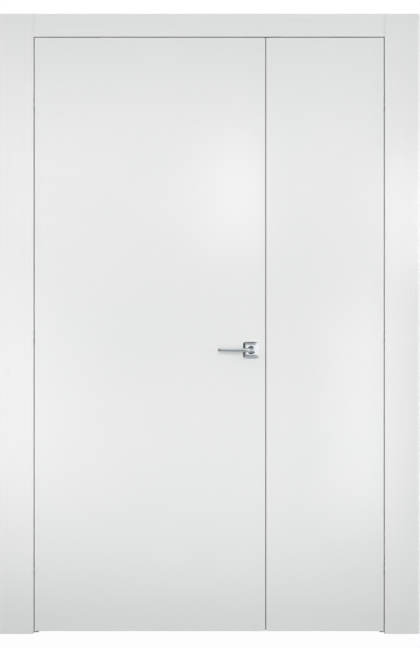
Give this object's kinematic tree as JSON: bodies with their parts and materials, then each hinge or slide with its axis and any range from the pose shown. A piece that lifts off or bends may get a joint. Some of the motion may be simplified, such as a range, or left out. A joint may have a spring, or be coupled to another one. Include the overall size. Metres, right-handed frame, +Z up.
{
  "type": "double hinged door",
  "caption": "Flush interior double door set with a wide and a narrow leaf on concealed hinges in a lined, cased frame, with a lever handle, latch and flush bolts.",
  "frame": {"origin": "floor level, midway across the frame, in the plane of the wall's front face where the front casings lie on it", "axes": "+X to the right seen from the front, +Y into the wall away from the viewer, +Z up"},
  "size_m": [1.487, 0.19, 2.189],
  "materials": {
    "white_lacquer_frame": "satin white lacquer on timber board, faint grain",
    "white_lacquer_leaf": "satin white lacquer on fibreboard skins and timber edges",
    "chipboard": "raw chipboard, hidden inside the leaf",
    "grey_rubber": "matt light grey",
    "satin_zinc": "satin plated",
    "steel": "bright zinc plated",
    "polished_chrome": "polished chrome plate"
  },
  "bodies": {
    "frame": {"jamb_left": "white_lacquer_frame", "jamb_right": "white_lacquer_frame", "jamb_head": "white_lacquer_frame", "front_casing_left": "white_lacquer_frame", "front_casing_right": "white_lacquer_frame", "front_casing_head": "white_lacquer_frame", "rear_casing_left": "white_lacquer_frame", "rear_casing_right": "white_lacquer_frame", "rear_casing_head": "white_lacquer_frame", "jamb_seal": "grey_rubber", "main_hinge_jamb_bodies": "satin_zinc", "narrow_hinge_jamb_bodies": "satin_zinc", "hinge_jamb_pins": "steel", "frame_screws": "steel", "head_keeper": "satin_zinc"},
    "main_leaf": {"main_front_skin": "white_lacquer_leaf", "main_rear_skin": "white_lacquer_leaf", "main_hinge_stile": "white_lacquer_leaf", "main_lock_stile": "white_lacquer_leaf", "main_top_rail": "white_lacquer_leaf", "main_bottom_rail": "white_lacquer_leaf", "main_core": "chipboard", "main_lock_block": "chipboard", "main_hinge_leaf_bodies": "satin_zinc", "main_hinge_leaf_pins": "steel", "main_leaf_screws": "steel", "lock_case": "steel", "lock_cover": "steel", "lock_faceplate": "satin_zinc", "rose_base_front": "steel", "rose_base_rear": "steel", "rose_cover_front": "polished_chrome", "rose_cover_rear": "polished_chrome", "rose_bolts": "steel"},
    "lever_set": {"lever_front": "polished_chrome", "lever_rear": "polished_chrome", "spindle": "steel", "lock_follower": "steel", "lever_grub_screws": "steel"},
    "latch": {"latch_bolt": "steel"},
    "narrow_leaf": {"narrow_front_skin": "white_lacquer_leaf", "narrow_rear_skin": "white_lacquer_leaf", "narrow_hinge_stile": "white_lacquer_leaf", "narrow_meeting_stile": "white_lacquer_leaf", "narrow_top_rail": "white_lacquer_leaf", "narrow_bottom_rail": "white_lacquer_leaf", "narrow_core": "chipboard", "narrow_hinge_leaf_bodies": "satin_zinc", "narrow_hinge_leaf_pins": "steel", "narrow_leaf_screws": "steel", "strike_plate": "satin_zinc", "strike_magnet": "steel", "flush_bolt_plates": "satin_zinc", "meeting_seal": "grey_rubber"},
    "top_bolt": {"top_flush_bolt": "steel"},
    "bottom_bolt": {"bottom_flush_bolt": "steel"},
    "main_jamb_arms": {"main_hinge_jamb_arms": "steel"},
    "main_leaf_arms": {"main_hinge_leaf_arms": "steel"},
    "narrow_jamb_arms": {"narrow_hinge_jamb_arms": "steel"},
    "narrow_leaf_arms": {"narrow_hinge_leaf_arms": "steel"}
  },
  "joints": [
    {"name": "main_leaf_swing", "type": "hinge", "parent": "frame", "child": "main_leaf", "pos_m": [-0.618, -0.016, 1.05], "axis": [0, 0, -1], "range_deg": [0, 110]},
    {"name": "main_jamb_arms_turn", "type": "hinge", "parent": "frame", "child": "main_jamb_arms", "pos_m": [-0.61905, -0.00405, 1.05], "axis": [0, 0, -1], "range_deg": [0, 110]},
    {"name": "main_leaf_arms_turn", "type": "hinge", "parent": "main_leaf", "child": "main_leaf_arms", "pos_m": [-0.61695, -0.00405, 1.05], "axis": [0, 0, -1], "range_deg": [-110, 0]},
    {"name": "narrow_leaf_swing", "type": "hinge", "parent": "frame", "child": "narrow_leaf", "pos_m": [0.618, -0.016, 1.05], "axis": [0, 0, 1], "range_deg": [0, 110]},
    {"name": "narrow_jamb_arms_turn", "type": "hinge", "parent": "frame", "child": "narrow_jamb_arms", "pos_m": [0.61905, -0.00405, 1.05], "axis": [0, 0, 1], "range_deg": [0, 110]},
    {"name": "narrow_leaf_arms_turn", "type": "hinge", "parent": "narrow_leaf", "child": "narrow_leaf_arms", "pos_m": [0.61695, -0.00405, 1.05], "axis": [0, 0, 1], "range_deg": [-110, 0]},
    {"name": "lever_turn", "type": "hinge", "parent": "main_leaf", "child": "lever_set", "pos_m": [0.1485, 0.006, 1.002], "axis": [0, -1, 0], "range_deg": [0, 40], "stiffness_Nm_per_rad": 1.2, "springref_deg": -28.65},
    {"name": "latch_slide", "type": "slide", "parent": "main_leaf", "child": "latch", "axis": [1, 0, 0], "range_m": [0, 0.011], "stiffness_N_per_m": 60, "springref_m": -0.01},
    {"name": "top_bolt_slide", "type": "slide", "parent": "narrow_leaf", "child": "top_bolt", "axis": [0, 0, 1], "range_m": [0, 0.018]},
    {"name": "bottom_bolt_slide", "type": "slide", "parent": "narrow_leaf", "child": "bottom_bolt", "axis": [0, 0, -1], "range_m": [0, 0.018]}
  ],
  "couplings": [
    {"joint": "main_jamb_arms_turn", "follows": "main_leaf_swing", "ratio": 1},
    {"joint": "main_leaf_arms_turn", "follows": "main_leaf_swing", "ratio": -1},
    {"joint": "narrow_jamb_arms_turn", "follows": "narrow_leaf_swing", "ratio": 1},
    {"joint": "narrow_leaf_arms_turn", "follows": "narrow_leaf_swing", "ratio": -1}
  ]
}
